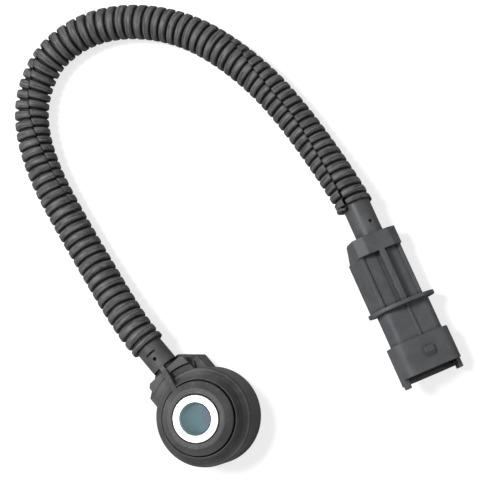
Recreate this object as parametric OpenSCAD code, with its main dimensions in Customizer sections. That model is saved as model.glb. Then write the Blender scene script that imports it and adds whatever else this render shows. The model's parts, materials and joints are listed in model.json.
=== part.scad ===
// Engine knock sensor: a ring-shaped head on an M8 bore, a corrugated lead and a two-pin connector.
// The origin is the bore axis on the steel contact face, +Z runs along the bore and +Y along the stub.
// Lengths are in millimetres.

/* [Sleeve] */
// Diameter of the bolt bore
bore_d = 8.4; // [8.2:0.1:9]
// Outside diameter of the sleeve's tube
sleeve_d = 13.2; // [12.6:0.1:13.8]
// Height from the contact face to the bolt seat
head_h = 20; // [19.5:0.5:24]
// Diameter of the sleeve's flange
flange_d = 22; // [21:0.5:24]
// Thickness of the sleeve's flange
flange_t = 2.2; // [1.8:0.1:2.6]

/* [Sensing stack] */
// Outside diameter of the rings of the stack
stack_d = 19.8; // [18:0.2:20.4]
// Thickness of each insulating disc
disc_t = 0.4; // [0.3:0.05:0.6]
// Thickness of each contact ring and its strip
contact_t = 0.3; // [0.2:0.05:0.4]
// Thickness of the piezo ring
piezo_t = 3; // [2.5:0.1:3.2]
// Thickness of the seismic mass
mass_t = 4.8; // [4:0.1:5.2]
// Height of the disc spring
spring_h = 0.8; // [0.6:0.05:1]
// Thickness of the clamp nut
nut_t = 3; // [2.5:0.1:3.4]
// Outside diameter of the clamp nut
nut_d = 17; // [16:0.2:18]
// Wall of the insulating tube
tube_wall = 0.6; // [0.4:0.05:0.8]

/* [Head housing] */
// Diameter of the moulded head
head_d = 28; // [27:0.25:30]
// Diameter of the flat collar round the bolt seat
collar_d = 16.8; // [16:0.2:17.6]
// Height of the head's plastic foot above the contact face
foot_gap = 0.5; // [0.3:0.1:0.8]
// Half width of the cable block
block_half = 9.5; // [9:0.1:10.5]
// Diameter of the stub that carries the conduit
stub_d = 8; // [7.6:0.1:8.2]
// Distance from the bore axis to the stub's end
stub_end = 32; // [31:0.5:34]
// Thickness of the central rib
rib_t = 1.6; // [1.2:0.1:2.4]

/* [Lead] */
// Outside diameter of the conduit
conduit_d = 10.2; // [10:0.1:10.4]
// Inside diameter of the conduit
conduit_id = 8.4; // [8.4:0.1:8.8]
// Diameter of the cable jacket
jacket_d = 5; // [4.6:0.1:5.2]
// Wall of the cable jacket
jacket_wall = 0.6; // [0.4:0.05:0.6]
// Diameter of each insulated core
core_d = 1.6; // [1.4:0.05:1.6]
// Diameter of each core's conductor
wire_d = 0.8; // [0.6:0.05:0.9]
// Distance between the two cores
core_pitch = 1.7; // [1.65:0.05:1.8]

/* [Connector] */
// Diameter of the neck at the conduit
neck_d = 7.9; // [7.4:0.1:8.2]
// Length of the neck in view
neck_len = 8.2; // [7:0.2:10]
// Length of the rear collar
collar_len = 5.2; // [4:0.2:6]
// Length of the grip
grip_len = 15.3; // [14:0.1:20]
// Width of the grip's top
grip_w = 12.6; // [12:0.2:13.4]
// Width of the grip's base
base_w = 15.8; // [15:0.1:16]
// Thickness of the stop flange
stop_t = 1.1; // [0.8:0.1:1.6]
// Width of the stop flange
stop_w = 20; // [19:0.1:20.6]
// Length of the waist between the stop flange and the shroud
waist_len = 9.4; // [8:0.2:12]
// Width of the shroud
shroud_w = 17.4; // [17:0.1:18]
// Height of the shroud
shroud_h = 10; // [9.6:0.1:10.4]
// Length of the shroud's top wall
shroud_len = 9.4; // [8:0.1:11]
// Wall of the shroud
shroud_wall = 1.3; // [1:0.1:1.6]
// Length of the side lugs past the top wall
lug_len = 2.6; // [2:0.1:3]
// Distance between the two pins
pin_pitch = 5; // [4.5:0.1:5.5]
// Width of a pin's blade
blade_w = 2.3; // [1.8:0.1:2.6]
// Thickness of a pin's blade
blade_t = 0.8; // [0.6:0.1:1]

/* [Hidden] */
eps = 0.01;
$fn = 72;

// Heights of the sensing stack, from the flange up
lower_disc_z = flange_t;
lower_contact_z = lower_disc_z + disc_t;
piezo_z = lower_contact_z + contact_t;
upper_contact_z = piezo_z + piezo_t;
upper_disc_z = upper_contact_z + contact_t;
mass_z = upper_disc_z + disc_t;
spring_z = mass_z + mass_t;
nut_z = spring_z + spring_h;
nut_top = nut_z + nut_t;
tube_d = sleeve_d + 2 * tube_wall;
seat_chamfer = 0.5;
edge_break = 0.2;

// The head's outline, measured down from the bolt seat and in from the barrel
collar_drop = 0.4;
seal_gap = 0.25;
seal_depth = 0.5;
head_r = head_d / 2;
collar_z = head_h - collar_drop;
step_r = head_r - 3.6;
step_z = collar_z - 1.9;
step_depth = 1.3;
step_w = 0.5;
rim_r = step_r + step_w;
shoulder_r = head_r - 0.35;
shoulder_z = head_h - 7.2;
shoulder_flat = 0.5;
cove_r = shoulder_r - shoulder_flat - rim_r;

// The cable block behind the head
block_flat_y = 15;
block_front_y = 19.5;
block_nose_half = 4.5;
bulkhead_half = 6.8;
bulkhead_r = 15.9;
bulkhead_chamfer = 1;
bulkhead_y = 14.7;
bulkhead_front_y = 17.6;
bulkhead_z = head_h - 8;
slot_floor_z = bulkhead_z - 0.8;
rib_end_y = 18.9;
barrel_y = 19.6;
groove_d = stub_d - 1.6;
dot_y = 21.8;
dot_d = 1;
dash_y = 23.8;
dash_w = 0.45;
dash_len = 3.2;
mark_depth = 0.5;

// The lead's route: straight out of the stub, down to the surface, round and back to the connector
lead_z = 8.2;
plug_at = [71.3, 14.3, 8];
plug_yaw = -17.6;
plug_roll = 27.5;
neck_hidden = 2;
lead_points = [
    [0.4, 37.5, 7.7], [1, 44, 6.8], [1.9, 51, 6], [3, 58.5, 5.4], [4.3, 66.5, 5.2],
    [5.8, 74.5, 5.2], [7.5, 82.5, 5.2], [9.9, 90.5, 5.2], [13.3, 98.2, 5.2], [18.2, 105, 5.2],
    [24.8, 110, 5.2], [32.7, 112.8, 5.2], [41, 112.5, 5.2], [48.7, 110, 5.2], [55.7, 105.5, 5.2],
    [61.7, 99.6, 5.2], [66.7, 92.6, 5.2], [70.5, 84.8, 5.2], [73, 76.5, 5.2], [74.6, 68, 5.2],
    [75.4, 59.5, 5.2], [75.4, 51, 5.2], [74.9, 42.5, 5.4], [74.2, 34.5, 6], [73.4, 26.5, 7.1]
];
conduit_y = 26.8;
conduit_sides = 12;
jacket_sides = 12;
core_sides = 8;

// The terminals inside the head
fit_gap = 0.05;
core_gap = 0.3;
splice_d = 1.8;
splice_len = 3;
splice_x = 1.35;
splice_y = 16.8;
strip_w = 1.8;
riser_y = stack_d / 2 + 2.2;
chamber_gap = 0.2;
resistor_d = 1.6;
resistor_len = 2.2;
resistor_lead_d = 0.5;
bent_w = 0.4;
resistor_y = 14.6;
jacket_y = 22.5;
jacket_bore_d = jacket_d + 2 * fit_gap;

// Stations along the connector, from the end of the conduit to the mouth
collar_s = neck_len;
grip_s = collar_s + collar_len;
stop_s = grip_s + grip_len;
waist_s = stop_s + stop_t;
shroud_s = waist_s + waist_len;
top_end_s = shroud_s + shroud_len;
mouth_s = top_end_s + lug_len;
mouth_floor_s = shroud_s + shroud_wall;
jacket_end_s = 6;
chamber_s = collar_s + 1;
barrel_s = 14;
barrel_len = 4;
blade_s = barrel_s + barrel_len + 2;
blade_end_s = mouth_floor_s + 4.6;
collar_w = grip_w + 0.8;
collar_h = 8.8;
collar_chamfer_w = 2.8;
collar_chamfer_h = 1.6;
base_z = 4.8;
plate_z = 2.4;
plate_t = 1.1;
pad_z = plate_z - 0.5;
pad_gap = 0.3;
pad_gap_z = plate_z - 1.1;
tee_w = 1.6;
stop_h = 14.6;
waist_w = 14.7;
waist_h = 8;
waist_r = 2.4;
waist_rib_t = 0.9;
waist_rib_h = 0.4;
shroud_r = 3.2;
bottom_cut = 1.9;
lug_h = 2.8;
latch_w = 3;
latch_len = 3.1;
latch_h = 0.9;
latch_ramp_len = 1.4;
latch_s = top_end_s - 6.1;
core_chamber_h = 2.6;

// Vectors along the lead
function unit(v) = v / norm(v);
function tangent(p, i) = unit(p[min(i + 1, len(p) - 1)] - p[max(i - 1, 0)]);
function turn_x(p, a) = [p[0] * cos(a) + p[2] * sin(a), p[1], -p[0] * sin(a) + p[2] * cos(a)];
function turn_z(p, a) = [p[0] * cos(a) - p[1] * sin(a), p[0] * sin(a) + p[1] * cos(a), p[2]];

// A place in the connector: x across it, s along it towards the mouth
function plug_point(x, s) = plug_at + turn_z(turn_x([x, -s, 0], plug_roll), plug_yaw);

// The two directions square to the lead at a point, turned about it by an angle
function across(t, a) = unit(cross(t, [0, 0, 1])) * cos(a) + unit(cross(unit(cross(t, [0, 0, 1])), t)) * sin(a);
function upward(t, a) = across(t, a + 90);
function ring_at(c, t, a, r, n) =
    [for (k = [0 : n - 1]) c + r * (cos(360 * k / n) * across(t, a) + sin(360 * k / n) * upward(t, a))];

// The lead turns about its own line from the head's level to the connector's roll
function lead_turn(i, n) = plug_roll * i / (n - 1);

// Routes of the conduit and of the cable inside it
conduit_route = concat([[0, conduit_y, lead_z], [0, conduit_y + 3, lead_z], [0, stub_end, lead_z]],
                       lead_points, [plug_point(0, -neck_hidden), plug_point(0, 0)]);
jacket_route = concat([[0, jacket_y, lead_z]], conduit_route, [plug_point(0, jacket_end_s)]);

// Route of one core: beside the middle of the cable, and spread to its terminals at the ends
function core_route(sign) = concat(
    [[sign * splice_x, splice_y + 0.2, lead_z], [sign * splice_x, splice_y + splice_len + core_gap, lead_z]],
    [for (i = [0 : len(jacket_route) - 1]) jacket_route[i]
        + sign * core_pitch / 2 * across(tangent(jacket_route, i), lead_turn(i, len(jacket_route)))],
    [plug_point(-sign * pin_pitch / 2, barrel_s - core_gap),
     plug_point(-sign * pin_pitch / 2, barrel_s + barrel_len - 0.2)]);

// A solid round cord through the points of a route
module cord(route, d, n) {
    count = len(route);
    points = [for (i = [0 : count - 1]) each ring_at(route[i], tangent(route, i), lead_turn(i, count), d / 2, n)];
    sides = [for (i = [0 : count - 2], k = [0 : n - 1]) let (a = i * n + k, b = i * n + (k + 1) % n)
        each [[a, b, b + n], [a, b + n, a + n]]];
    first = [for (k = [n - 1 : -1 : 0]) k];
    last = [for (k = [0 : n - 1]) (count - 1) * n + k];
    polyhedron(points, concat(sides, [first, last]));
}

// A hollow cord: an outer and an inner skin joined by a flat ring at each end
module hollow_cord(route, d, inner_d, n) {
    count = len(route);
    all = count * n;
    outer = [for (i = [0 : count - 1]) each ring_at(route[i], tangent(route, i), lead_turn(i, count), d / 2, n)];
    inner = [for (i = [0 : count - 1]) each ring_at(route[i], tangent(route, i), lead_turn(i, count), inner_d / 2, n)];
    sides = [for (i = [0 : count - 2], k = [0 : n - 1]) let (a = i * n + k, b = i * n + (k + 1) % n)
        each [[a, b, b + n], [a, b + n, a + n], [all + a, all + b + n, all + b], [all + a, all + a + n, all + b + n]]];
    ends = [for (k = [0 : n - 1]) let (j = (k + 1) % n, e = (count - 1) * n)
        each [[k, all + k, all + j, j], [e + k, e + j, all + e + j, all + e + k]]];
    polyhedron(concat(outer, inner), concat(sides, ends));
}

// A flat ring of the stack
module stack_ring(z, t, d, inner_d) {
    translate([0, 0, z])
        difference() {
            cylinder(h = t, d = d);
            translate([0, 0, -1]) cylinder(h = t + 2, d = inner_d);
        }
}

// A cylinder along +Y
module bar_y(y, length, d) {
    translate([0, y, lead_z]) rotate([-90, 0, 0]) cylinder(h = length, d = d);
}

// The section below, drawn as x across and y up, carried along the connector from s to s + length
module along(s, length) {
    translate([0, -s, 0]) rotate([90, 0, 0]) linear_extrude(length) children();
}

// The outline of a box with rounded corners
module rounded_box(w, h, r, n = 8) {
    polygon([for (q = [0 : 3], k = [0 : n]) let (a = 90 * q + 90 * k / n,
        cx = (q == 0 || q == 3 ? 1 : -1) * (w / 2 - r), cy = (q < 2 ? 1 : -1) * (h / 2 - r))
        [cx + r * cos(a), cy + r * sin(a)]]);
}

module at_connector() {
    translate(plug_at) rotate([0, 0, plug_yaw]) rotate([0, plug_roll, 0]) children();
}

module pressure_sleeve() {
    color("silver")
    rotate_extrude()
        polygon([
            [bore_d / 2, 0], [flange_d / 2 - edge_break, 0], [flange_d / 2, edge_break],
            [flange_d / 2, flange_t], [sleeve_d / 2, flange_t],
            [sleeve_d / 2, head_h - edge_break], [sleeve_d / 2 - edge_break, head_h],
            [bore_d / 2 + seat_chamfer, head_h], [bore_d / 2, head_h - seat_chamfer]
        ]);
}

module insulating_tube() {
    color("ivory") stack_ring(lower_disc_z, nut_z - lower_disc_z, tube_d, sleeve_d);
}

module lower_insulator() {
    color("tan") stack_ring(lower_disc_z, disc_t, stack_d, tube_d);
}

// A contact ring with a strip that runs out, up and along to its splice
module contact(z, sign) {
    inner_y = stack_d / 2 - 1;
    strip_z = lead_z - contact_t / 2;
    stack_ring(z, contact_t, stack_d, tube_d);
    translate([sign * splice_x - strip_w / 2, inner_y, z]) cube([strip_w, riser_y - inner_y, contact_t]);
    translate([sign * splice_x - strip_w / 2, riser_y - contact_t, z])
        cube([strip_w, contact_t, strip_z + contact_t - z]);
    translate([sign * splice_x - strip_w / 2, riser_y - contact_t, strip_z])
        cube([strip_w, splice_y - riser_y + contact_t, contact_t]);
}

module lower_contact() {
    color("goldenrod") contact(lower_contact_z, 1);
}

module piezo_ring() {
    color("dimgray") stack_ring(piezo_z, piezo_t, stack_d, tube_d);
}

module upper_contact() {
    color("goldenrod") contact(upper_contact_z, -1);
}

module upper_insulator() {
    color("tan") stack_ring(upper_disc_z, disc_t, stack_d, tube_d);
}

module seismic_mass() {
    color("darkgray") stack_ring(mass_z, mass_t, stack_d, tube_d);
}

// A coned washer: its rim rests on the mass and its inner edge carries the nut
module disc_spring() {
    sheet = 0.5;
    color("steelblue")
    rotate_extrude()
        polygon([
            [tube_d / 2, spring_z + spring_h - sheet], [stack_d / 2 - 1.2, spring_z], [stack_d / 2 - 0.9, spring_z],
            [stack_d / 2 - 0.9, spring_z + sheet - 0.1], [tube_d / 2 + 0.6, spring_z + spring_h],
            [tube_d / 2, spring_z + spring_h]
        ]);
}

// A round nut with two spanner slots across its top
module clamp_nut() {
    slot_w = 3;
    slot_depth = 1.2;
    color("gainsboro")
    difference() {
        stack_ring(nut_z, nut_t, nut_d, sleeve_d);
        translate([-nut_d / 2 - 1, -slot_w / 2, nut_top - slot_depth]) cube([nut_d + 2, slot_w, slot_depth + 1]);
    }
}

// Outline of the moulded head: collar, slope, step, cove, shoulder and barrel
module head_profile() {
    foot_r = head_r - 0.3;
    polygon(concat(
        [[sleeve_d / 2 - eps, collar_z], [collar_d / 2, collar_z], [step_r, step_z],
         [step_r, step_z - step_depth], [rim_r, step_z - step_depth]],
        [for (a = [180 : 15 : 270]) [rim_r + cove_r + cove_r * cos(a), shoulder_z + cove_r + cove_r * sin(a)]],
        [[shoulder_r, shoulder_z], [head_r, shoulder_z - 0.6], [head_r, foot_gap + 0.7], [foot_r, foot_gap],
         [sleeve_d / 2 - eps, foot_gap]]));
}

// Low part of the cable block, seen from above
module block_outline() {
    polygon([
        [-block_half, 0], [block_half, 0], [block_half, block_flat_y], [block_nose_half, block_front_y],
        [-block_nose_half, block_front_y], [-block_half, block_flat_y]
    ]);
}

// The block falls away towards its front
module block_low() {
    front_z = bulkhead_z - 6.4;
    rear_z = bulkhead_z - 3.2;
    intersection() {
        translate([0, 0, foot_gap]) linear_extrude(bulkhead_z) block_outline();
        rotate([90, 0, 90])
            translate([0, 0, -block_half - 1])
                linear_extrude(2 * block_half + 2)
                    polygon([[0, 0], [block_front_y + 1, 0], [block_front_y + 1, front_z],
                             [bulkhead_front_y, front_z + 1.6], [bulkhead_y, rear_z], [0, rear_z]]);
    }
}

// The raised plate behind the head, hollowed round the barrel down to the slot's floor
module bulkhead() {
    difference() {
        translate([0, 0, foot_gap])
            linear_extrude(bulkhead_z - foot_gap)
                polygon([
                    [-bulkhead_half, 0], [bulkhead_half, 0],
                    [bulkhead_half, bulkhead_front_y - bulkhead_chamfer],
                    [bulkhead_half - bulkhead_chamfer, bulkhead_front_y],
                    [-bulkhead_half + bulkhead_chamfer, bulkhead_front_y],
                    [-bulkhead_half, bulkhead_front_y - bulkhead_chamfer]
                ]);
        translate([0, 0, slot_floor_z]) cylinder(h = head_h, r = bulkhead_r, $fn = 96);
    }
}

// The rib falls from the collar to the top of the stub
module central_rib() {
    stub_top = lead_z + stub_d / 2;
    rotate([90, 0, 90])
        translate([0, 0, -rib_t / 2])
            linear_extrude(rib_t)
                polygon([[collar_d / 2 - 0.6, lead_z], [collar_d / 2 - 0.6, collar_z - 0.5],
                         [bulkhead_front_y, stub_top + 0.5], [rib_end_y, stub_top + 0.3],
                         [rib_end_y, lead_z]]);
}

// Room that the moulding leaves for the stack, face to face with each ring
module stack_room() {
    translate([0, 0, -1]) cylinder(h = head_h + 2, d = sleeve_d);
    translate([0, 0, -1]) cylinder(h = flange_t + 1, d = flange_d);
    translate([0, 0, lower_disc_z - eps]) cylinder(h = nut_z - lower_disc_z + eps, d = stack_d);
    clamp_nut();
    translate([0, 0, nut_z - eps]) cylinder(h = eps + 0.5, d = nut_d);
    translate([0, 0, collar_z - seal_depth]) cylinder(h = seal_depth + 1, d = sleeve_d + 2 * seal_gap);
}

// Room for the strips and the resistor, under the rib
module terminal_room() {
    half = splice_x + strip_w / 2 + chamber_gap;
    floor_z = lower_disc_z + disc_t;
    translate([-half, stack_d / 2 - 1, floor_z])
        cube([2 * half, splice_y - stack_d / 2 + 1, lead_z + contact_t / 2 + chamber_gap - floor_z]);
    bar_y(splice_y - eps, stub_end - splice_y + 1, jacket_bore_d);
}

module stub_marks() {
    stub_top = lead_z + stub_d / 2;
    translate([0, dot_y, stub_top - mark_depth]) cylinder(h = 2, d = dot_d, $fn = 24);
    translate([-dash_len / 2, dash_y - dash_w / 2, stub_top - mark_depth]) cube([dash_len, dash_w, 2]);
}

module head_housing() {
    color([0.3, 0.3, 0.3])
    difference() {
        union() {
            rotate_extrude($fn = 96) head_profile();
            block_low();
            bulkhead();
            central_rib();
            bar_y(bulkhead_front_y - eps, barrel_y - bulkhead_front_y + 2 * eps, groove_d);
            bar_y(barrel_y, stub_end - barrel_y, stub_d);
        }
        stack_room();
        terminal_room();
        stub_marks();
    }
}

// The resistor hangs under the two strips on its bent leads
module shunt_resistor() {
    body_z = lead_z - contact_t / 2 - resistor_d / 2 - 0.2;
    color("lightblue")
    union() {
        translate([-resistor_len / 2, resistor_y, body_z]) rotate([0, 90, 0])
            cylinder(h = resistor_len, d = resistor_d, $fn = 32);
        translate([-splice_x - resistor_lead_d, resistor_y, body_z]) rotate([0, 90, 0])
            cylinder(h = 2 * (splice_x + resistor_lead_d), d = resistor_lead_d, $fn = 16);
        for (side = [-1, 1])
            translate([side * splice_x - bent_w / 2, resistor_y - bent_w / 2, body_z])
                cube([bent_w, bent_w, resistor_d / 2 + 0.2]);
    }
}

// A crimped sleeve that joins a strip to its core
module splice(sign) {
    color("peru")
    translate([sign * splice_x, splice_y, lead_z]) rotate([-90, 0, 0])
        difference() {
            cylinder(h = splice_len, d = splice_d, $fn = 32);
            translate([0, 0, -1]) cylinder(h = splice_len + 2, d = wire_d + 2 * fit_gap, $fn = 24);
        }
}

module signal_splice() {
    splice(1);
}

module ground_splice() {
    splice(-1);
}

module signal_wire() {
    color("orangered") cord(core_route(1), wire_d, core_sides);
}

module ground_wire() {
    color("orangered") cord(core_route(-1), wire_d, core_sides);
}

// The insulation stops at the splice and at the pin's crimp
function insulated(route) = [for (i = [1 : len(route) - 2]) route[i]];

module insulation(sign) {
    hollow_cord(insulated(core_route(sign)), core_d, wire_d + 2 * fit_gap, core_sides);
}

module signal_insulation() {
    color("white") insulation(1);
}

module ground_insulation() {
    color("black") insulation(-1);
}

module cable_jacket() {
    color([0.15, 0.15, 0.15]) hollow_cord(jacket_route, jacket_d, jacket_d - 2 * jacket_wall, jacket_sides);
}

module conduit() {
    color([0.2, 0.2, 0.2]) hollow_cord(conduit_route, conduit_d, conduit_id, conduit_sides);
}

// A box outline with its four corners cut off, cx wide and cy high
module cut_box(w, h, cx, cy) {
    polygon([
        [-w / 2, -h / 2 + cy], [-w / 2 + cx, -h / 2], [w / 2 - cx, -h / 2], [w / 2, -h / 2 + cy],
        [w / 2, h / 2 - cy], [w / 2 - cx, h / 2], [-w / 2 + cx, h / 2], [-w / 2, h / 2 - cy]
    ]);
}

// Section of the grip: flared sides, a pad between two plates, and the rib that joins the collar
module grip_section() {
    plate_x = grip_w / 2 - plate_t;
    pad_x = plate_x - pad_gap;
    polygon([
        [-base_w / 2, -base_z], [base_w / 2, -base_z], [grip_w / 2, plate_z], [plate_x, plate_z],
        [plate_x, pad_gap_z], [pad_x, pad_gap_z], [pad_x, pad_z], [-pad_x, pad_z], [-pad_x, pad_gap_z],
        [-plate_x, pad_gap_z], [-plate_x, plate_z], [-grip_w / 2, plate_z]
    ]);
    translate([-tee_w / 2, 0]) square([tee_w, collar_h / 2]);
}

module grip() {
    along(collar_s, collar_len + eps) cut_box(collar_w, collar_h, collar_chamfer_w, collar_chamfer_h);
    along(grip_s, grip_len + eps) grip_section();
}

// An oval plate that stops the mating seal
module stop_flange() {
    along(stop_s, stop_t)
        polygon([for (a = [0 : 7.5 : 352.5]) [stop_w / 2 * cos(a), stop_h / 2 * sin(a)]]);
}

module waist() {
    along(waist_s, waist_len + eps) {
        rounded_box(waist_w, waist_h, waist_r);
        square([waist_rib_t, waist_h + 2 * waist_rib_h], center = true);
    }
}

// The shroud's top and bottom walls are cut back, so that its sides stand out as lugs
module shroud() {
    difference() {
        along(shroud_s, mouth_s - shroud_s) rounded_box(shroud_w, shroud_h, shroud_r);
        along(mouth_floor_s, mouth_s)
            rounded_box(shroud_w - 2 * shroud_wall, shroud_h - 2 * shroud_wall, shroud_r - shroud_wall);
        along(top_end_s, lug_len + 1)
            translate([0, lug_h / 2 + shroud_h / 2]) square([shroud_w + 2, shroud_h], center = true);
        along(mouth_s - bottom_cut, bottom_cut + 1)
            translate([0, -lug_h / 2 - shroud_h / 2]) square([shroud_w + 2, shroud_h], center = true);
    }
}

// The ramp that the mating latch snaps over
module latch_ramp() {
    translate([-latch_w / 2, 0, 0]) rotate([90, 0, 90])
        linear_extrude(latch_w)
            polygon([[-latch_s, shroud_h / 2 - eps], [-latch_s, shroud_h / 2 + latch_h],
                     [-latch_s - latch_len + latch_ramp_len, shroud_h / 2 + latch_h], [-latch_s - latch_len, shroud_h / 2 - eps]]);
}

// Blade of a pin and the room for its crimp, as seen along the connector
module blade(sign, s, length) {
    along(s, length) translate([sign * pin_pitch / 2, 0]) square([blade_w, blade_t], center = true);
}

module connector_housing() {
    color([0.32, 0.33, 0.34])
    at_connector()
        difference() {
            union() {
                along(-neck_hidden, neck_len + neck_hidden + eps) circle(d = neck_d);
                grip();
                stop_flange();
                waist();
                shroud();
                latch_ramp();
            }
            along(-neck_hidden - 1, jacket_end_s + neck_hidden + 1 + eps) circle(d = jacket_bore_d);
            along(jacket_end_s, blade_s - jacket_end_s) square([jacket_bore_d, core_chamber_h], center = true);
            along(chamber_s, blade_s - chamber_s)
                square([pin_pitch + blade_w + 2 * chamber_gap, core_chamber_h], center = true);
            blade(-1, blade_s - eps, mouth_s);
            blade(1, blade_s - eps, mouth_s);
        }
}

// A stamped pin: a crimp barrel, a short strip and the blade
module pin(sign) {
    color("gold")
    at_connector() {
        blade(sign, blade_s - 2, blade_end_s - blade_s + 2);
        along(barrel_s, barrel_len) translate([sign * pin_pitch / 2, 0])
            difference() {
                circle(d = splice_d, $fn = 32);
                circle(d = wire_d + 2 * fit_gap, $fn = 24);
            }
    }
}

module signal_pin() {
    pin(-1);
}

module ground_pin() {
    pin(1);
}

pressure_sleeve();
insulating_tube();
lower_insulator();
lower_contact();
piezo_ring();
upper_contact();
upper_insulator();
seismic_mass();
disc_spring();
clamp_nut();
head_housing();
shunt_resistor();
signal_splice();
ground_splice();
signal_wire();
ground_wire();
signal_insulation();
ground_insulation();
cable_jacket();
conduit();
connector_housing();
signal_pin();
ground_pin();
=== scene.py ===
# %% [markdown]
# An engine knock sensor: a ring-shaped head that a bolt clamps to the block, a corrugated
# conduit over its cable, and a flat two-pin connector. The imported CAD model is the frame, and
# this script dresses it: it makes the moulded surfaces, the conduit's ribs and every finish.

# %% The frame
import json
import math
import bmesh
import bpy
from mathutils import Matrix, Vector


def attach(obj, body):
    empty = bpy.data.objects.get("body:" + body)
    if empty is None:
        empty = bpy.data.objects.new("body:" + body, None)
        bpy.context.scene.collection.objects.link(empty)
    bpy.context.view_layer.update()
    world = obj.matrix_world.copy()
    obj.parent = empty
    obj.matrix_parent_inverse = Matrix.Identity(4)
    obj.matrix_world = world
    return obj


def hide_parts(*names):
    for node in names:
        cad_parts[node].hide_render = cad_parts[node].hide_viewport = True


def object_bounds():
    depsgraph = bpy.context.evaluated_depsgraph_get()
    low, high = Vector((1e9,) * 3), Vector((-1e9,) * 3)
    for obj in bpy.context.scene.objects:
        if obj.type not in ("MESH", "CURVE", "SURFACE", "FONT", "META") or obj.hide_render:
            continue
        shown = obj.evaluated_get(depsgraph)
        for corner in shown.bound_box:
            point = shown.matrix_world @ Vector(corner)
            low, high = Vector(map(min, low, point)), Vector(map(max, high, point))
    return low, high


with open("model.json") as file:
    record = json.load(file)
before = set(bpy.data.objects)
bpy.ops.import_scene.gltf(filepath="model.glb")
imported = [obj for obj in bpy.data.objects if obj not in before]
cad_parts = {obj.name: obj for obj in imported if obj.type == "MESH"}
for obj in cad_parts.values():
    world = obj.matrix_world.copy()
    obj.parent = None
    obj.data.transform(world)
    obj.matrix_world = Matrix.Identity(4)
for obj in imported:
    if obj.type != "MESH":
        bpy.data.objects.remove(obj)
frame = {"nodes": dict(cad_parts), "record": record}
cad_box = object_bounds()
MM = 0.001
nodes = frame["nodes"]
scene = bpy.context.scene
scene.view_settings.view_transform = "Standard"
print("CAD nodes:", len(nodes), "box", [round(v / MM, 1) for corner in cad_box for v in corner])

# %% [markdown]
# The camera comes first, because it settles what has to look right. The photograph shows the
# head about 17 degrees off its bore's axis, so the camera stands almost overhead. Its place and
# the point it looks at are in millimetres in the sensor's own frame.

# %% Camera
CAMERA_AT = Vector((99.37, -56.76, 382.4)) * MM
CAMERA_AIM = Vector((40.2, 31.53, 6.0)) * MM
PICTURE_TURN = 41.7
SENSOR_MM = 36.0
LENS_MM = 102.33


def make_camera():
    """A long lens that looks down on the sensor, turned so that the stub points up and left."""
    data = bpy.data.cameras.new("camera")
    data.sensor_width, data.lens = SENSOR_MM, LENS_MM
    data.clip_start, data.clip_end = 0.01, 10.0
    camera = bpy.data.objects.new("camera", data)
    up = Vector((math.sin(math.radians(PICTURE_TURN)), math.cos(math.radians(PICTURE_TURN)), 0))
    back = (CAMERA_AT - CAMERA_AIM).normalized()
    right = up.cross(back).normalized()
    turn = Matrix((right, back.cross(right), back)).transposed()
    camera.matrix_world = Matrix.Translation(CAMERA_AT) @ turn.to_4x4()
    scene.collection.objects.link(camera)
    scene.camera = camera
    return camera


camera = make_camera()
print("camera stands", round((CAMERA_AT - CAMERA_AIM).length / MM), "mm away")

# %% [markdown]
# The lead's route repeats the CAD route: straight out of the stub, down to the table, round in
# one long loop and back up to the connector. The last points lie on the connector's own axis.

# %% Route of the lead
STUB_Z = 8.2
PLUG_AT = Vector((71.3, 14.3, 8.0))
PLUG_YAW = math.radians(-17.6)
PLUG_ROLL = math.radians(27.5)
PLUG_AXIS = Vector((math.sin(PLUG_YAW), -math.cos(PLUG_YAW), 0))
NECK_HIDDEN = 2
ROUTE_MM = [
    (0, 26.8, STUB_Z), (0, 29.8, STUB_Z), (0, 32, STUB_Z),
    (0.4, 37.5, 7.7), (1, 44, 6.8), (1.9, 51, 6), (3, 58.5, 5.4), (4.3, 66.5, 5.2),
    (5.8, 74.5, 5.2), (7.5, 82.5, 5.2), (9.9, 90.5, 5.2), (13.3, 98.2, 5.2), (18.2, 105, 5.2),
    (24.8, 110, 5.2), (32.7, 112.8, 5.2), (41, 112.5, 5.2), (48.7, 110, 5.2), (55.7, 105.5, 5.2),
    (61.7, 99.6, 5.2), (66.7, 92.6, 5.2), (70.5, 84.8, 5.2), (73, 76.5, 5.2), (74.6, 68, 5.2),
    (75.4, 59.5, 5.2), (75.4, 51, 5.2), (74.9, 42.5, 5.4), (74.2, 34.5, 6), (73.4, 26.5, 7.1),
    tuple(PLUG_AT - PLUG_AXIS * NECK_HIDDEN), tuple(PLUG_AT),
]
route = [Vector(p) * MM for p in ROUTE_MM]


def smooth_line(points, steps):
    """Points along a smooth curve through the given ones, with that many steps to each stretch."""
    line = []
    for i in range(len(points) - 1):
        before = points[max(i - 1, 0)]
        a, b = points[i], points[i + 1]
        after = points[min(i + 2, len(points) - 1)]
        for k in range(steps):
            t = k / steps
            line.append(0.5 * (2 * a + (b - before) * t + (2 * before - 5 * a + 4 * b - after) * t ** 2
                               + (3 * a - before - 3 * b + after) * t ** 3))
    return line + [points[-1]]


def length_of(points):
    return sum((b - a).length for a, b in zip(points, points[1:]))


lead_line = smooth_line(route, 8)
LEAD_LENGTH = length_of(lead_line)
print("lead:", round(LEAD_LENGTH / MM, 1), "mm from the stub to the connector's neck")


def curve_through(name, points):
    """A curve object of one open poly spline."""
    data = bpy.data.curves.new(name, "CURVE")
    data.dimensions = "3D"
    spline = data.splines.new("POLY")
    spline.points.add(len(points) - 1)
    for point, place in zip(spline.points, points):
        point.co = (*place, 1)
    piece = bpy.data.objects.new(name, data)
    scene.collection.objects.link(piece)
    return piece


# %% [markdown]
# Node trees are easier to read when each step is one short call. The little class below adds a
# node, sets its plain values and joins its links, and gives back the first output.

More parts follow.
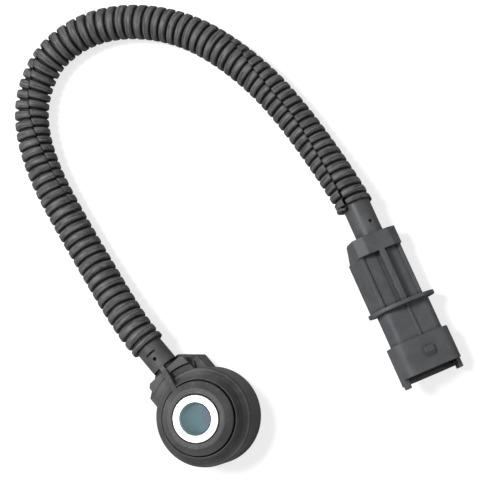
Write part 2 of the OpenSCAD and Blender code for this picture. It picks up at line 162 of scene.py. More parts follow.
# %% Writing node trees
class Tree:
    """A node tree that is written one call at a time."""

    def __init__(self, tree):
        self.tree = tree

    def add(self, kind, inputs=(), out=0, **settings):
        """Adds a node. Inputs are (socket, value or output); out names the output given back."""
        node = self.tree.nodes.new(kind)
        for key, value in settings.items():
            setattr(node, key, value)
        for socket, value in dict(inputs).items():
            self.put(node.inputs[socket], value)
        return node.outputs[out]

    def put(self, socket, value):
        if isinstance(value, bpy.types.NodeSocket):
            self.tree.links.new(value, socket)
        else:
            socket.default_value = value

    def math(self, operation, a, b=0.0, clamp=False):
        return self.add("ShaderNodeMath", {0: a, 1: b}, operation=operation, use_clamp=clamp)

    def vector(self, operation, a, b=(0, 0, 0)):
        return self.add("ShaderNodeVectorMath", {0: a, 1: b}, operation=operation)

    def scaled(self, a, factor):
        return self.add("ShaderNodeVectorMath", {0: a, "Scale": factor}, operation="SCALE")

    def curve(self, value, points, straight=True):
        """A float curve through (x, y) points, with corners unless it is smooth."""
        node = self.tree.nodes.new("ShaderNodeFloatCurve")
        track = node.mapping.curves[0]
        while len(track.points) < len(points):
            track.points.new(0.5, 0.5)
        for point, place in zip(track.points, points):
            point.location = place
            point.handle_type = "VECTOR" if straight else "AUTO"
        node.mapping.update()
        self.put(node.inputs["Value"], value)
        return node.outputs["Value"]


def geometry_tree(name, sizes):
    """An empty geometry tree with named number inputs and one geometry output."""
    tree = bpy.data.node_groups.new(name, "GeometryNodeTree")
    tree.interface.new_socket("Geometry", in_out="INPUT", socket_type="NodeSocketGeometry")
    for label, value in sizes.items():
        whole = isinstance(value, int)
        kind = "NodeSocketInt" if whole else "NodeSocketFloat"
        tree.interface.new_socket(label, in_out="INPUT", socket_type=kind).default_value = value
    tree.interface.new_socket("Geometry", in_out="OUTPUT", socket_type="NodeSocketGeometry")
    return tree


def run_geometry(name, piece, tree, sizes):
    """Puts the tree on the piece with its sizes, and gives back the result as a plain mesh object."""
    modifier = piece.modifiers.new(name, "NODES")
    modifier.node_group = tree
    for item in tree.interface.items_tree:
        if item.in_out == "INPUT" and item.name in sizes:
            modifier[item.identifier] = sizes[item.name]
    bpy.context.view_layer.update()
    evaluated = piece.evaluated_get(bpy.context.evaluated_depsgraph_get())
    mesh = bpy.data.meshes.new_from_object(evaluated)
    mesh.name = name
    result = bpy.data.objects.new(name, mesh)
    scene.collection.objects.link(result)
    bpy.data.objects.remove(piece)
    return result


# %% [markdown]
# A finish here is a plain Principled material whose colour, roughness and bump come from noise.
# Four effects are shared, so each is a node group: the fine spark-eroded grain of a moulded
# part, the cloudy unevenness of its colour, the pale wear along its edges, and shade painted
# into the colour in corners and grooves.

# %% Shared effects
def shader_group(name, inputs, outputs):
    group = bpy.data.node_groups.new(name, "ShaderNodeTree")
    for label, kind, value in inputs:
        socket = group.interface.new_socket(label, in_out="INPUT", socket_type=kind)
        socket.default_value = value
    for label, kind in outputs:
        group.interface.new_socket(label, in_out="OUTPUT", socket_type=kind)
    return group


def make_grain():
    """Fine grain of an eroded mould, as a normal."""
    group = shader_group("mould grain", [("Size", "NodeSocketFloat", 0.1), ("Height", "NodeSocketFloat", 0.1)],
                         [("Normal", "NodeSocketVector"), ("Grain", "NodeSocketFloat")])
    t = Tree(group)
    source = group.nodes.new("NodeGroupInput")
    place = t.add("ShaderNodeTexCoord", out="Object")
    scale = t.math("DIVIDE", 1.0 / MM, source.outputs["Size"])
    fine = t.add("ShaderNodeTexNoise", {"Vector": place, "Scale": scale, "Detail": 3.0, "Roughness": 0.6})
    bump = t.add("ShaderNodeBump", {"Strength": source.outputs["Height"], "Distance": 0.05 * MM, "Height": fine})
    sink = group.nodes.new("NodeGroupOutput")
    group.links.new(bump, sink.inputs["Normal"])
    group.links.new(fine, sink.inputs["Grain"])
    return group


def make_cloud():
    """Slow unevenness of a surface, from 0 to 1."""
    group = shader_group("surface cloud", [("Size", "NodeSocketFloat", 6.0)], [("Cloud", "NodeSocketFloat")])
    t = Tree(group)
    source = group.nodes.new("NodeGroupInput")
    place = t.add("ShaderNodeTexCoord", out="Object")
    scale = t.math("DIVIDE", 1.0 / MM, source.outputs["Size"])
    cloud = t.add("ShaderNodeTexNoise", {"Vector": place, "Scale": scale, "Detail": 4.0, "Roughness": 0.55})
    sink = group.nodes.new("NodeGroupOutput")
    group.links.new(cloud, sink.inputs["Cloud"])
    return group


def make_wear():
    """Pale rubbing on outside edges, broken up by noise, from 0 to 1."""
    group = shader_group("edge wear", [("Start", "NodeSocketFloat", 0.53), ("End", "NodeSocketFloat", 0.62)],
                         [("Wear", "NodeSocketFloat")])
    t = Tree(group)
    source = group.nodes.new("NodeGroupInput")
    sharp = t.add("ShaderNodeNewGeometry", out="Pointiness")
    place = t.add("ShaderNodeTexCoord", out="Object")
    patchy = t.add("ShaderNodeTexNoise", {"Vector": place, "Scale": 900.0, "Detail": 3.0})
    edge = t.add("ShaderNodeMapRange", {"Value": sharp, "From Min": source.outputs["Start"],
                                        "From Max": source.outputs["End"]})
    worn = t.math("MULTIPLY", edge, t.add("ShaderNodeMapRange", {"Value": patchy, "From Min": 0.35, "From Max": 0.65}))
    sink = group.nodes.new("NodeGroupOutput")
    group.links.new(worn, sink.inputs["Wear"])
    return group


def make_corner_shade():
    """Painted shade in corners and grooves from ambient occlusion: 1 on open faces and Darkest deep in a corner."""
    group = shader_group("corner shade", [("Reach", "NodeSocketFloat", 1.2), ("Darkest", "NodeSocketFloat", 0.3),
                                          ("Open", "NodeSocketFloat", 0.95)], [("Shade", "NodeSocketFloat")])
    t = Tree(group)
    source = group.nodes.new("NodeGroupInput")
    reach = t.math("MULTIPLY", source.outputs["Reach"], MM)
    open_share = t.add("ShaderNodeAmbientOcclusion", {"Distance": reach}, out="AO", samples=12)
    shade = t.add("ShaderNodeMapRange", {"Value": open_share, "From Min": 0.4, "From Max": source.outputs["Open"],
                                         "To Min": source.outputs["Darkest"], "To Max": 1.0})
    sink = group.nodes.new("NodeGroupOutput")
    group.links.new(shade, sink.inputs["Shade"])
    return group


GRAIN, CLOUD, WEAR, SHADE = make_grain(), make_cloud(), make_wear(), make_corner_shade()
print("shared effects:", GRAIN.name, CLOUD.name, WEAR.name, SHADE.name)


# %% [markdown]
# Each finish places the shared groups with its own values. The even values go straight on the
# Principled shader, and only what varies over the surface is linked.

# %% Finishes
def finish(name, metallic=0.0, specular=0.5, coat=0.0):
    """A material with its tree, its shader and no other nodes."""
    material = bpy.data.materials.new(name)
    material.use_nodes = True
    shader = material.node_tree.nodes["Principled BSDF"]
    shader.inputs["Metallic"].default_value = metallic
    shader.inputs["Specular IOR Level"].default_value = specular
    shader.inputs["Coat Weight"].default_value = coat
    return material, Tree(material.node_tree), shader


def effect(tree, group, out, **values):
    """Places a shared group in a material."""
    node = tree.tree.nodes.new("ShaderNodeGroup")
    node.node_tree = group
    for label, value in values.items():
        tree.put(node.inputs[label], value)
    return node.outputs[out]


# The bore's wall: teal-tinted zinc plating, painted violet-grey shade towards +x, and a darker colour near the top
BORE_TEAL = (0.43, 0.63, 0.56)
BORE_SHADE_VIOLET = (0.42, 0.42, 0.45)
BORE_MOUTH = (0.17, 0.25, 0.26)


MOUTH_HALF = (7.4, 3.7)
MOUTH_CORNER = 1.9
MOUTH_FLOOR_S, MOUTH_RIM_S = 40.5, 49.15


def mouth_shade_factor(t):
    """Painted shade: 0.08 on the walls deep inside the connector's mouth and 1 everywhere else."""
    place = t.add("ShaderNodeTexCoord", out="Object")
    local = t.add("ShaderNodeVectorRotate", {"Vector": t.vector("SUBTRACT", place, tuple(PLUG_AT * MM)), "Angle": -PLUG_YAW},
                  rotation_type="Z_AXIS")
    local = t.add("ShaderNodeVectorRotate", {"Vector": local, "Angle": -PLUG_ROLL}, rotation_type="Y_AXIS")
    section = t.vector("MULTIPLY", local, (1, 0, 1))
    core = tuple((h - MOUTH_CORNER) * MM for h in MOUTH_HALF)
    past_core = t.vector("MAXIMUM", t.vector("SUBTRACT", t.vector("ABSOLUTE", section), (core[0], 0, core[1])))
    from_core = t.add("ShaderNodeVectorMath", {0: past_core}, out="Value", operation="LENGTH")
    inside = t.math("LESS_THAN", from_core, (MOUTH_CORNER + 0.12) * MM)
    station = t.math("MULTIPLY", t.add("ShaderNodeSeparateXYZ", {0: local}, out=1), -1 / MM)
    deep = t.math("MULTIPLY", t.math("GREATER_THAN", station, MOUTH_FLOOR_S), t.math("LESS_THAN", station, MOUTH_RIM_S))
    return t.math("SUBTRACT", 1.0, t.math("MULTIPLY", t.math("MULTIPLY", inside, deep), 0.92))


def pocket_shade_factor(t):
    """Painted shade: 0.45 on the low floor beside the head's rib and 1 everywhere else."""
    place = t.add("ShaderNodeTexCoord", out="Object")
    across, ahead, height = [t.add("ShaderNodeSeparateXYZ", {0: place}, out=k) for k in range(3)]
    beside = t.math("MULTIPLY", t.math("GREATER_THAN", across, 1.0 * MM), t.math("LESS_THAN", across, 10.0 * MM))
    between = t.math("MULTIPLY", t.add("ShaderNodeMapRange", {"Value": ahead, "From Min": 12.6 * MM, "From Max": 13.6 * MM}),
                     t.math("LESS_THAN", ahead, 17.5 * MM))
    low = t.math("MULTIPLY", t.math("LESS_THAN", height, 11.75 * MM), t.math("GREATER_THAN", height, 8.0 * MM))
    return t.math("SUBTRACT", 1.0, t.math("MULTIPLY", t.math("MULTIPLY", beside, t.math("MULTIPLY", between, low)), 0.55))


def moulded(name, dark, light, worn, roughness, grain_size=0.16, grain_height=0.35, cloud_size=5.0,
            reach=1.5, darkest=0.15, mouth=False, pocket_shade=False):
    """Moulded plastic: two near tones, a grain, pale worn edges, painted shade in corners and, where asked, painted
    shade in the connector's mouth or beside the head's rib.
    """
    material, t, shader = finish(name, specular=0.25)
    cloud = t.add("ShaderNodeMapRange", {"Value": effect(t, CLOUD, "Cloud", Size=cloud_size), "From Min": 0.34,
                                         "From Max": 0.66})
    tone = t.add("ShaderNodeMix", {0: cloud, 6: (*dark, 1), 7: (*light, 1)}, out=2, data_type="RGBA")
    wear = effect(t, WEAR, "Wear")
    colour = t.add("ShaderNodeMix", {0: wear, 6: tone, 7: (*worn, 1)}, out=2, data_type="RGBA")
    # Painted shade: ambient occlusion darkens the colour in corners and grooves
    shade = effect(t, SHADE, "Shade", Reach=reach, Darkest=darkest)
    # Painted shade inside the connector's mouth and on the low floor beside the head's rib
    if mouth:
        shade = t.math("MULTIPLY", shade, mouth_shade_factor(t))
    if pocket_shade:
        shade = t.math("MULTIPLY", shade, pocket_shade_factor(t))
    t.put(shader.inputs["Base Color"], t.scaled(colour, shade))
    rough = t.add("ShaderNodeMapRange", {"Value": cloud, "To Min": roughness - 0.06, "To Max": roughness + 0.08})
    t.put(shader.inputs["Roughness"], rough)
    t.put(shader.inputs["Normal"], effect(t, GRAIN, "Normal", Size=grain_size, Height=grain_height))
    return material


def turned_metal(name, colour, roughness, line_size=0.12, lines=0.25, bore=None):
    """Turned and plated metal: fine rings round the bore's axis, and inside the given radius a duller teal bore with
    painted violet-grey shade on its +x side and a darker colour near its top.
    """
    material, t, shader = finish(name, metallic=1.0)
    place = t.add("ShaderNodeTexCoord", out="Object")
    axis = t.add("ShaderNodeSeparateXYZ", {0: place})
    flat = t.vector("MULTIPLY", place, (1, 1, 0))
    radius = t.add("ShaderNodeVectorMath", {0: flat}, out="Value", operation="LENGTH")
    height = t.add("ShaderNodeSeparateXYZ", {0: place}, out=2)
    rings = t.add("ShaderNodeTexNoise", {"W": t.math("MULTIPLY", t.math("ADD", radius, height), 1 / (line_size * MM)),
                                         "Scale": 1.0, "Detail": 2.0}, noise_dimensions="1D")
    cloud = effect(t, CLOUD, "Cloud", Size=3.0)
    tone = t.add("ShaderNodeMix", {0: cloud, 6: (*[c * 0.93 for c in colour], 1), 7: (*colour, 1)}, out=2,
                 data_type="RGBA")
    rough = t.add("ShaderNodeMapRange", {"Value": rings, "To Min": roughness - 0.08, "To Max": roughness + 0.1})
    if bore:
        inside = t.math("LESS_THAN", radius, bore * MM)
        # Painted shade: the bore's wall turns from teal to violet-grey towards +x
        side = t.add("ShaderNodeMapRange", {"Value": t.add("ShaderNodeSeparateXYZ", {0: place}), "From Min": -2.5 * MM,
                                            "From Max": 4.0 * MM})
        passivated_and_shaded = t.add("ShaderNodeMix", {0: side, 6: (*BORE_TEAL, 1), 7: (*BORE_SHADE_VIOLET, 1)}, out=2, data_type="RGBA")
        at_top = t.math("GREATER_THAN", height, 19.3 * MM)
        passivated_and_shaded = t.add("ShaderNodeMix", {0: at_top, 6: passivated_and_shaded, 7: (*BORE_MOUTH, 1)}, out=2, data_type="RGBA")
        tone = t.add("ShaderNodeMix", {0: inside, 6: tone, 7: passivated_and_shaded}, out=2, data_type="RGBA")
        rough = t.add("ShaderNodeMix", {0: inside, 2: rough, 3: 0.4})
    t.put(shader.inputs["Base Color"], tone)
    t.put(shader.inputs["Roughness"], rough)
    t.put(shader.inputs["Normal"], t.add("ShaderNodeBump", {"Strength": lines, "Distance": 0.01 * MM, "Height": rings}))
    return material


def ribbed_tube(name):
    """Corrugated plastic: painted shade that blackens the grooves, rubbed crowns, and fine streaks that run round each
    rib.
    """
    material, t, shader = finish(name, specular=0.35)
    on_rib = t.add("ShaderNodeAttribute", out="Vector", attribute_name="rib place")
    height = t.add("ShaderNodeSeparateXYZ", {0: on_rib}, out=2)
    streak_place = t.vector("MULTIPLY", on_rib, (1 / (0.45 * MM), 5.0, 0.0))
    streaks = t.add("ShaderNodeTexNoise", {"Vector": streak_place, "Scale": 1.0, "Detail": 3.0, "Roughness": 0.65})
    patches = effect(t, CLOUD, "Cloud", Size=1.6)
    mixed = t.math("ADD", t.math("MULTIPLY", streaks, 0.8), t.math("MULTIPLY", patches, 0.2))
    share = t.add("ShaderNodeMapRange", {"Value": mixed, "From Min": 0.41, "From Max": 0.6})
    crown = t.add("ShaderNodeMix", {0: share, 6: (0.035, 0.035, 0.035, 1), 7: (0.135, 0.135, 0.136, 1)}, out=2,
                  data_type="RGBA")
    # Painted shade: the colour darkens towards the bottom of each groove, and ambient occlusion darkens corners more
    groove_shade = t.add("ShaderNodeMapRange", {"Value": height, "From Min": 0.05, "From Max": 0.7, "To Min": 0.08, "To Max": 1.0})
    shade = effect(t, SHADE, "Shade", Reach=1.2, Darkest=0.3)
    t.put(shader.inputs["Base Color"], t.scaled(crown, t.math("MULTIPLY", groove_shade, shade)))
    t.put(shader.inputs["Roughness"], t.add("ShaderNodeMapRange", {"Value": share, "To Min": 0.68, "To Max": 0.52}))
    bump = t.add("ShaderNodeBump", {"Strength": 0.35, "Distance": 0.06 * MM, "Height": mixed})
    t.put(shader.inputs["Normal"], bump)
    return material


head_black = moulded("head_plastic", (0.038, 0.039, 0.039), (0.1, 0.1, 0.1), (0.13, 0.13, 0.13), 0.5,
                      cloud_size=9.0, reach=2.4, darkest=0.1, pocket_shade=True)
connector_grey = moulded("connector_plastic", (0.066, 0.068, 0.073), (0.096, 0.099, 0.105), (0.13, 0.135, 0.14), 0.46, mouth=True)
conduit_black = ribbed_tube("conduit_plastic")
jacket_black = moulded("jacket_rubber", (0.018, 0.018, 0.018), (0.026, 0.026, 0.026), (0.05, 0.05, 0.05), 0.6)
zinc = turned_metal("zinc_steel", (0.93, 0.94, 0.94), 0.3, bore=4.69)
mass_steel = turned_metal("mass_steel", (0.6, 0.6, 0.61), 0.35)
spring_steel = turned_metal("spring_steel", (0.4, 0.44, 0.5), 0.3)
pin_tin = turned_metal("pin_tin", (0.72, 0.7, 0.64), 0.28)
copper = turned_metal("tinned_copper", (0.78, 0.58, 0.42), 0.35)
brass = turned_metal("contact_brass", (0.8, 0.62, 0.3), 0.3)
insulator_tan = moulded("insulator", (0.6, 0.48, 0.3), (0.7, 0.58, 0.4), (0.8, 0.7, 0.5), 0.6)
piezo_grey = moulded("piezo_ceramic", (0.16, 0.16, 0.15), (0.22, 0.22, 0.2), (0.3, 0.3, 0.28), 0.7)
resistor_blue = moulded("resistor_body", (0.3, 0.42, 0.5), (0.35, 0.48, 0.55), (0.5, 0.6, 0.65), 0.4)
core_white = moulded("core_white", (0.7, 0.7, 0.68), (0.8, 0.8, 0.78), (0.85, 0.85, 0.83), 0.5)
core_black = moulded("core_black", (0.02, 0.02, 0.02), (0.03, 0.03, 0.03), (0.06, 0.06, 0.06), 0.5)

FINISH_OF_SLOT = {"head_plastic": head_black, "connector_plastic": connector_grey, "jacket_rubber": jacket_black,
                  "conduit_plastic": conduit_black, "zinc_steel": zinc, "mass_steel": mass_steel,
                  "spring_steel": spring_steel, "pin_tin": pin_tin, "tinned_copper": copper, "contact_brass": brass,
                  "insulator": insulator_tan, "piezo_ceramic": piezo_grey, "resistor_body": resistor_blue,
                  "core_white": core_white, "core_black": core_black}


def dress_frame():
    """Gives every CAD node the finish of its slot."""
    for part in frame["record"]["subparts"]:
        mesh = nodes[part["node"]].data
        mesh.materials.clear()
        mesh.materials.append(FINISH_OF_SLOT[part["material_slot"]])


dress_frame()
print("finishes:", len(FINISH_OF_SLOT))

# %% [markdown]
# The conduit is a thin split tube pressed into ribs. A grid is bent round the lead's line: one
# way of the grid counts along the ribs, the other way goes round from one lip of the slit to the
# other. Float curves hold the form of one rib and how far the slit gapes and turns on the way,
# so that the ribs, the slit and its open end all come from one rule.

# %% Conduit
RIB_PITCH = 2.857
RIB_STEPS = 12
ROUND_STEPS = 48
RIB_FORM = [(0, 0), (1 / 12, 0), (2 / 12, 0.35), (3 / 12, 0.75), (4 / 12, 0.95), (5 / 12, 1), (6 / 12, 1),
            (7 / 12, 1), (8 / 12, 0.95), (9 / 12, 0.75), (10 / 12, 0.35), (11 / 12, 0), (1, 0)]
RIB_PLACE = [(0, 0), (1 / 12, 0.055), (2 / 12, 0.1), (3 / 12, 0.15), (4 / 12, 0.225), (5 / 12, 0.34), (6 / 12, 0.5),
             (7 / 12, 0.66), (8 / 12, 0.775), (9 / 12, 0.85), (10 / 12, 0.9), (11 / 12, 0.945), (1, 1)]
# The ribs stand closer together in the second half, where the tube has been pushed back
RIB_SPREAD = [(0.0, 0.0), (0.579, 0.6), (1.0, 0.996)]


# How far the slit gapes, how it winds round the conduit, and how far its two lips are out of step
SLIT_GAPE = [(0.0, 0.03), (0.25, 0.008), (0.7, 0.008), (0.82, 0.025), (0.92, 0.06), (0.96, 0.13), (1.0, 0.5)]
SLIT_WIND = [(0.0, 0.2), (0.1, 0.24), (0.187, 0.314), (0.24, 0.36), (0.292, 0.385), (0.326, 0.422), (0.405, 0.525),
             (0.47, 0.66), (0.55, 0.75), (0.65, 0.72), (0.72, 0.62), (0.783, 0.525), (0.857, 0.514), (0.902, 0.494),
             (0.967, 0.467), (1.0, 0.448)]
SLIT_START = -0.25
LIP_STEP = [(0.0, 0.5), (0.15, 0.5), (0.3, 0.62), (0.7, 0.6), (0.85, 0.66), (1.0, 0.95)]
LIP_STEP_MM = 2.2


def conduit_tree():
    sizes = {"Radius": 5.1 * MM, "Groove": 1.15 * MM, "Pitch": RIB_PITCH * MM, "Steps": RIB_STEPS,
             "Ribs": math.ceil(LEAD_LENGTH / MM / RIB_PITCH + 0.35) + 1,
             "Round": ROUND_STEPS, "First": 0.35, "Length": LEAD_LENGTH, "Lip step": 2 * LIP_STEP_MM * MM}
    tree = geometry_tree("conduit ribs", sizes)
    t = Tree(tree)
    source = tree.nodes.new("NodeGroupInput").outputs
    rows = t.math("ADD", t.math("MULTIPLY", source["Ribs"], source["Steps"]), 1.0)
    grid = t.add("GeometryNodeMeshGrid", {"Size X": 1.0, "Size Y": 1.0, "Vertices X": rows,
                                          "Vertices Y": source["Round"]})
    place = t.add("GeometryNodeInputPosition")
    split = tree.nodes.new("ShaderNodeSeparateXYZ")
    tree.links.new(place, split.inputs[0])
    row = t.math("ROUND", t.math("MULTIPLY", t.math("ADD", split.outputs[0], 0.5), t.math("SUBTRACT", rows, 1.0)))
    turn = t.math("ADD", split.outputs[1], 0.5)
    step = t.math("DIVIDE", row, source["Steps"])
    rib = t.math("FLOOR", t.math("ADD", step, 0.0001))
    phase = t.math("SUBTRACT", step, rib)
    along = t.math("MULTIPLY", t.math("ADD", t.math("SUBTRACT", rib, source["First"]), t.curve(phase, RIB_PLACE)),
                   source["Pitch"])
    even = t.math("DIVIDE", along, source["Length"], clamp=True)
    skew = t.math("MULTIPLY", t.math("SUBTRACT", t.curve(even, LIP_STEP), 0.5), source["Lip step"])
    spread = t.math("MULTIPLY", t.curve(even, RIB_SPREAD), source["Length"])
    along = t.math("ADD", spread, t.math("MULTIPLY", skew, t.math("SUBTRACT", turn, 0.5)))
    share = t.math("DIVIDE", along, source["Length"], clamp=True)
    height = t.curve(phase, RIB_FORM)
    low = t.math("SUBTRACT", source["Radius"], source["Groove"])
    radius = t.math("ADD", low, t.math("MULTIPLY", height, source["Groove"]))
    gape = t.math("MULTIPLY", t.curve(share, SLIT_GAPE), 0.5)
    lips = t.math("SUBTRACT", 2 * math.pi, gape)
    angle = t.math("ADD", t.math("MULTIPLY", gape, 0.5), t.math("MULTIPLY", turn, lips))
    slit = t.math("MULTIPLY", t.math("ADD", t.curve(even, SLIT_WIND, straight=False), SLIT_START), 2 * math.pi)
    angle = t.math("ADD", angle, slit)
    sampled = tree.nodes.new("GeometryNodeSampleCurve")
    sampled.mode = "FACTOR"
    tree.links.new(source["Geometry"], sampled.inputs["Curves"])
    tree.links.new(share, sampled.inputs["Factor"])
    middle, ahead = sampled.outputs["Position"], sampled.outputs["Tangent"]
    side = t.vector("NORMALIZE", t.vector("CROSS_PRODUCT", ahead, (0, 0, 1)))
    up = t.vector("CROSS_PRODUCT", side, ahead)
    out = t.vector("ADD", t.scaled(side, t.math("COSINE", angle)), t.scaled(up, t.math("SINE", angle)))
    on_rib = t.add("ShaderNodeCombineXYZ", {0: along, 1: turn, 2: height})
    marked = t.add("GeometryNodeStoreNamedAttribute", {"Geometry": grid, "Name": "rib place", "Value": on_rib},
                   data_type="FLOAT_VECTOR")
    moved = t.add("GeometryNodeSetPosition", {"Geometry": marked, "Position": t.vector("ADD", middle, t.scaled(out, radius))})
    smooth = t.add("GeometryNodeSetShadeSmooth", {0: moved})
    real = t.add("GeometryNodeRealizeInstances", {0: smooth})
    done = t.add("GeometryNodeSetMaterial", {0: real, "Material": conduit_black})
    sink = tree.nodes.new("NodeGroupOutput")
    tree.links.new(done, sink.inputs[0])
    return tree


# The conduit hangs a little to one side at its open end, where the cable goes into the neck
OPEN_END_LEAN = Vector((-0.55, 0.5, 0)) * MM
LEAN_POINTS = 36
conduit_line = [place + OPEN_END_LEAN * max(0, 1 - (len(lead_line) - 1 - k) / LEAN_POINTS) ** 1.3
                for k, place in enumerate(lead_line)]
conduit = run_geometry("split_conduit", curve_through("lead line", conduit_line), conduit_tree(), {})
marks = conduit.data.attributes["rib place"].data
print("conduit:", len(conduit.data.polygons), "faces, marked to", [round(max(m.vector[k] for m in marks), 3) for k in range(3)])
wall = conduit.modifiers.new("wall", "SOLIDIFY")
wall.thickness, wall.offset = 0.35 * MM, -1
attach(conduit, "root")
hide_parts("conduit")


# %% [markdown]
# A moulding has no sharp edge: each corner of the steel mould leaves a small radius. The two
# housings are dense copies of their CAD nodes whose edges are rounded by a voxel remesh and a
# few steps of smoothing, after the small marks of the mould are cut into them.

# %% Moulded housings
def small_tool(name, size, place, turn=None, round_sides=0):
    """A box or a round plug that a boolean cuts away, in millimetres."""
    mesh = bpy.data.meshes.new(name)
    form = bmesh.new()
    if round_sides:
        bmesh.ops.create_cone(form, cap_ends=True, segments=round_sides, radius1=size[0] / 2, radius2=size[0] / 2,
                              depth=size[2])
    else:
        bmesh.ops.create_cube(form, size=1)
        bmesh.ops.scale(form, vec=size, verts=form.verts)
    bmesh.ops.transform(form, matrix=Matrix.Scale(MM, 4) @ Matrix.Translation(place) @ (turn or Matrix()),
                        verts=form.verts)
    form.to_mesh(mesh)
    form.free()
    tool = bpy.data.objects.new(name, mesh)
    scene.collection.objects.link(tool)
    return tool


def solid_of(name, rings, endless=False):
    """A closed solid through rings of points in metres, with a cap at each end unless it closes on itself."""
    form = bmesh.new()
    loops = [[form.verts.new(point) for point in ring] for ring in rings]
    count = len(rings[0])
    for one, two in zip(loops, loops[1:] + loops[:1] if endless else loops[1:]):
        for k in range(count):
            form.faces.new((one[k], one[(k + 1) % count], two[(k + 1) % count], two[k]))
    if not endless:
        form.faces.new(loops[0])
        form.faces.new(loops[-1])
    bmesh.ops.recalc_face_normals(form, faces=form.faces)
    mesh = bpy.data.meshes.new(name)
    form.to_mesh(mesh)
    form.free()
    tool = bpy.data.objects.new(name, mesh)
    scene.collection.objects.link(tool)
    return tool


def turned(name, profile, start=0, end=360):
    """A profile of (radius, height) turned about the bore from one angle to another, in degrees."""
    steps, endless = round((end - start) / 3), end - start == 360
    angles = [math.radians(start + (end - start) * k / steps) for k in range(steps if endless else steps + 1)]
    return solid_of(name, [[Vector((r * math.cos(a), r * math.sin(a), z)) * MM for r, z in profile] for a in angles],
                    endless)


def turned_on_stub(name, profile):
    """A profile of (radius, place along the stub) turned about the stub's axis."""
    angles = [math.radians(5 * k) for k in range(72)]
    return solid_of(name, [[Vector((r * math.cos(a), y, STUB_Z + r * math.sin(a))) * MM for r, y in profile]
                           for a in angles], endless=True)


def plug_solid(name, sections):
    """A solid through sections along the connector, each a station and an outline of (across, up)."""
    return solid_of(name, [[at_plug(x, s, z) * MM for x, z in outline] for s, outline in sections])


def moulding(name, node, voxel, rounding, most_triangles, adds=(), cuts=()):
    """A dense copy of a CAD node with small forms added, others cut, and rounded edges, as a plain mesh."""
    copy = nodes[node].data.copy()
    form = bmesh.new()
    form.from_mesh(copy)
    bmesh.ops.remove_doubles(form, verts=form.verts, dist=0.0005 * MM)
    form.to_mesh(copy)
    form.free()
    piece = bpy.data.objects.new(name, copy)
    scene.collection.objects.link(piece)
    for tool, operation in [(tool, "UNION") for tool in adds] + [(tool, "DIFFERENCE") for tool in cuts]:
        step = piece.modifiers.new("carve", "BOOLEAN")
        step.object, step.operation, step.solver = tool, operation, "EXACT"
    remesh = piece.modifiers.new("remesh", "REMESH")
    remesh.mode, remesh.voxel_size, remesh.use_smooth_shade = "VOXEL", voxel * MM, True
    soften = piece.modifiers.new("soften", "SMOOTH")
    soften.factor, soften.iterations = 0.5, rounding
    bpy.context.view_layer.update()
    mesh = bpy.data.meshes.new_from_object(piece.evaluated_get(bpy.context.evaluated_depsgraph_get()))
    triangles = sum(len(p.vertices) - 2 for p in mesh.polygons)
    if triangles > most_triangles:
        piece.modifiers.clear()
        piece.data = mesh
        fewer = piece.modifiers.new("fewer", "DECIMATE")
        fewer.ratio = most_triangles / triangles
        bpy.context.view_layer.update()
        mesh = bpy.data.meshes.new_from_object(piece.evaluated_get(bpy.context.evaluated_depsgraph_get()))
    bpy.data.objects.remove(piece)
    for tool in (*adds, *cuts):
        bpy.data.objects.remove(tool)
    mesh.name = name
    for face in mesh.polygons:
        face.use_smooth = True
    mesh.materials.clear()
    mesh.materials.append(FINISH_OF_SLOT[slot_of[node]])
    result = bpy.data.objects.new(name, mesh)
    scene.collection.objects.link(result)
    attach(result, "root")
    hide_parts(node)
    print(name, len(mesh.polygons), "faces")
    return result


slot_of = {part["node"]: part["material_slot"] for part in frame["record"]["subparts"]}
plug_turn = Matrix.Rotation(PLUG_YAW, 4, "Z") @ Matrix.Rotation(PLUG_ROLL, 4, "Y")


def at_plug(x, s, z):
    """A place in the connector: across it, along it towards the mouth, and above its middle."""
    return PLUG_AT + plug_turn.to_3x3() @ Vector((x, -s, z))


# %% The head
HUB_EDGE = 10.37
cove_fill = turned("cove fill", [(10.1, 16.93), (11.1, 16.87), (11.4, 15.6), (12.2, 13.9), (13.3, 12.75),
                                 (13.3, 11.5), (10.1, 11.5)])
hub_groove = turned("hub groove", [(HUB_EDGE, 18.2), (HUB_EDGE, 16.0), (HUB_EDGE + 0.36, 16.0), (HUB_EDGE + 0.36, 18.2)],
                    94.8, 445.2)
left_skirt = turned("left skirt", [(13.0, 12.6), (16.2, 11.7), (16.2, 10.5), (13.0, 10.5)], 92, 119)
right_skirt = turned("right skirt", [(13.2, 10.7), (16.2, 9.2), (16.2, 8.7), (13.2, 8.7)], 61, 88)
stub_end = turned_on_stub("stub end", [(3.0, 18.8), (3.98, 18.8), (3.98, 19.8), (3.0, 19.8)])
stub_dot = small_tool("stub dot", (1.0, 1.0, 2.4), (0, 21.8, 12.2), round_sides=20)
stub_dash = small_tool("stub dash", (3.2, 0.5, 1.6), (0, 23.8, 12.2))
head = moulding("moulded_head", "head_housing", 0.15, 3, 195000, adds=[cove_fill, left_skirt, right_skirt, stub_end],
                cuts=[hub_groove, stub_dot, stub_dash])

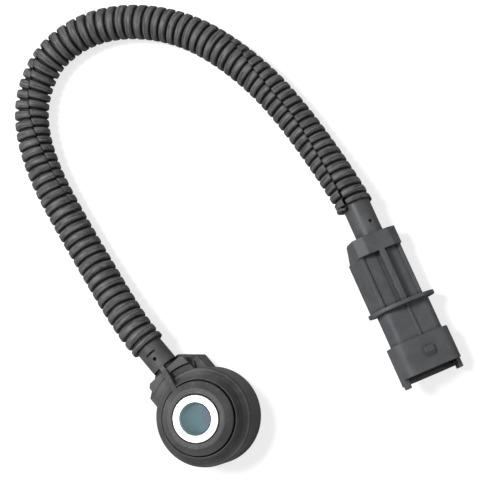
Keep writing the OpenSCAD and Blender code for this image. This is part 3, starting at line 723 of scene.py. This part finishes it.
# %% The connector
COLLAR_S, GRIP_S, STOP_S, TOP_END_S = 8.2, 13.4, 28.7, 48.6
left_fill = plug_solid("left pad edge", [(s, [(-5.4, 0), (-4.6, 0), (-4.6, 1.7), (-5.4, 1.7)]) for s in (GRIP_S, STOP_S)])
right_fill = plug_solid("right pad edge", [(s, [(4.6, 0), (5.4, 0), (5.4, 1.85), (4.6, 1.85)]) for s in (GRIP_S, STOP_S)])
collar_skirt = plug_solid("collar skirt", [(COLLAR_S + 0.2, [(-6.5, -4.0), (6.5, -4.0), (6.3, 1.5), (-6.3, 1.5)]),
                                           (GRIP_S + 0.2, [(-7.5, -4.7), (7.5, -4.7), (6.5, 2.2), (-6.5, 2.2)])])
lip_angles = [math.radians(a) for a in range(0, 91, 10)]
lip_outline = ([(5.5 + 3.2 * math.cos(a), -1.8 - 3.2 * math.sin(a)) for a in lip_angles]
               + [(-5.5 - 3.2 * math.sin(a), -1.8 - 3.2 * math.cos(a)) for a in lip_angles]
               + [(-5.5 - 1.9 * math.cos(a), -1.8 - 1.9 * math.sin(a)) for a in lip_angles]
               + [(5.5 + 1.9 * math.sin(a), -1.8 - 1.9 * math.cos(a)) for a in lip_angles])
lower_lip = plug_solid("lower lip", [(TOP_END_S, lip_outline), (TOP_END_S + 1.5, lip_outline)])
neck_dot = small_tool("neck dot", (0.9, 0.9, 1.8), at_plug(0.5, 4.8, 3.9), plug_turn, round_sides=20)
plug = moulding("moulded_connector", "connector_housing", 0.15, 3, 195000,
                adds=[left_fill, right_fill, collar_skirt, lower_lip], cuts=[neck_dot])

# %% [markdown]
# The stage is a white table that fills the picture. It looks white to the camera and in
# reflections, and it still takes the sensor's soft shadow. Under the bore a violet-grey spot
# is painted on it as shadow, and the same spot glows to light the inside of the bore.

# %% Stage and light
def make_stage():
    """A wide pale floor just under the sensor."""
    mesh = bpy.data.meshes.new("floor")
    half = 3.0
    mesh.from_pydata([(-half, -half, 0), (half, -half, 0), (half, half, 0), (-half, half, 0)], [], [(0, 1, 2, 3)])
    floor = bpy.data.objects.new("floor", mesh)
    scene.collection.objects.link(floor)
    floor.location.z = cad_box[0].z - 0.05 * MM
    material, t, shader = finish("floor")
    shader.inputs["Roughness"].default_value = 0.9
    seen = t.add("ShaderNodeLightPath", out="Is Camera Ray")
    place = t.add("ShaderNodeTexCoord", out="Object")
    away = t.add("ShaderNodeVectorMath", {0: place}, out="Value", operation="LENGTH")
    # Painted shadow under the bore: a violet-grey spot, dim to the camera, that glows for all other rays
    painted_bore_spot = t.math("LESS_THAN", away, 4.6 * MM)
    colour = t.add("ShaderNodeMix", {0: painted_bore_spot, 6: (0.4, 0.4, 0.4, 1), 7: (0.42, 0.44, 0.56, 1)}, out=2,
                   data_type="RGBA")
    t.put(shader.inputs["Base Color"], colour)
    t.put(shader.inputs["Emission Color"], t.add("ShaderNodeMix", {0: painted_bore_spot, 6: (1, 1, 1, 1),
                                                                   7: (0.5, 0.56, 0.7, 1)}, out=2, data_type="RGBA"))
    glow = t.add("ShaderNodeMix", {0: painted_bore_spot, 2: t.math("MULTIPLY", seen, 0.75),
                                   3: t.math("SUBTRACT", 0.6, t.math("MULTIPLY", seen, 0.35))})
    t.put(shader.inputs["Emission Strength"], glow)
    mesh.materials.append(material)
    return floor


def make_world(level):
    """White all round, at a plain level for light and full white where it is seen."""
    world = bpy.data.worlds.new("studio")
    world.use_nodes = True
    scene.world = world
    t = Tree(world.node_tree)
    background = world.node_tree.nodes["Background"]
    background.inputs["Color"].default_value = (1, 1, 1, 1)
    path = world.node_tree.nodes.new("ShaderNodeLightPath")
    seen = t.math("MAXIMUM", t.math("MAXIMUM", path.outputs["Is Camera Ray"], path.outputs["Is Glossy Ray"]),
                  path.outputs["Is Transmission Ray"])
    t.put(background.inputs["Strength"], t.math("ADD", t.math("MULTIPLY", seen, 1 - level), level))


def area_light(name, place, size, power):
    """A soft square lamp that looks at the middle of the sensor."""
    data = bpy.data.lights.new(name, "AREA")
    data.size, data.energy = size, power
    lamp = bpy.data.objects.new(name, data)
    scene.collection.objects.link(lamp)
    lamp.location = place
    aim = Vector((0.04, 0.03, 0))
    lamp.rotation_euler = (aim - lamp.location).to_track_quat("-Z", "Y").to_euler()
    return lamp


make_stage()
make_world(0.17)
area_light("key", Vector((-0.09, 0.34, 0.77)), 0.22, 7.0)
area_light("fill", Vector((0.5, -0.2, 0.5)), 0.4, 0.5)
